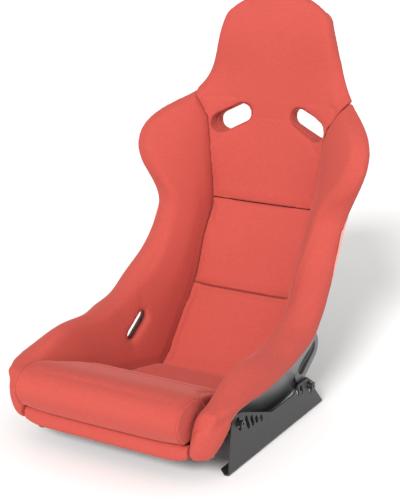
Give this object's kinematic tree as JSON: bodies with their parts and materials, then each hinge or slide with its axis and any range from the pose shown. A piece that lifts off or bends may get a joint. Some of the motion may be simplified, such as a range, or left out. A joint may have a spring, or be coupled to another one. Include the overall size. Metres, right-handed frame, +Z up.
{
  "type": "racing seat",
  "caption": "Fixed-back bucket racing seat: fabric-covered moulded shell, loose cushion, belt openings, slotted folded-steel side mounts",
  "frame": {"origin": "midway between the four foot holes of the two side mounts, on the underside of their feet", "axes": "+Z up, -Y the way the seat faces, +X to the right of someone who looks at its front"},
  "size_m": [0.5612, 0.7575, 0.84],
  "materials": {
    "grey_laminate": "satin gelcoat on glass-fibre laminate",
    "red_fabric": "woven velour-like cloth",
    "tape": "hook and loop tape",
    "black_steel": "black powder coat, semi-matt",
    "screw_steel": "black oxide",
    "spacer_steel": "zinc plated"
  },
  "bodies": {
    "mounts": {"side_mount_left": "black_steel", "side_mount_right": "black_steel"},
    "seat": {"shell": "grey_laminate", "bolster_left": "red_fabric", "bolster_right": "red_fabric", "head_back_pad": "red_fabric", "lumbar_pad": "red_fabric", "lower_back_pad": "red_fabric", "front_lip_pad": "red_fabric", "belt_slot_sleeves": "red_fabric", "hook_strips": "tape", "mount_screws": "screw_steel", "mount_washers": "screw_steel", "mount_spacers": "spacer_steel", "threaded_inserts": "spacer_steel"},
    "cushion": {"seat_cushion": "red_fabric", "loop_strips": "tape"}
  },
  "joints": [
    {"name": "seat_height", "type": "slide", "parent": "mounts", "child": "seat", "axis": [0, -0.4586, 0.8886], "range_m": [-0.016, 0.008]},
    {"name": "cushion_lift", "type": "slide", "parent": "seat", "child": "cushion", "axis": [0, 0, 1], "range_m": [0, 0.22]}
  ]
}
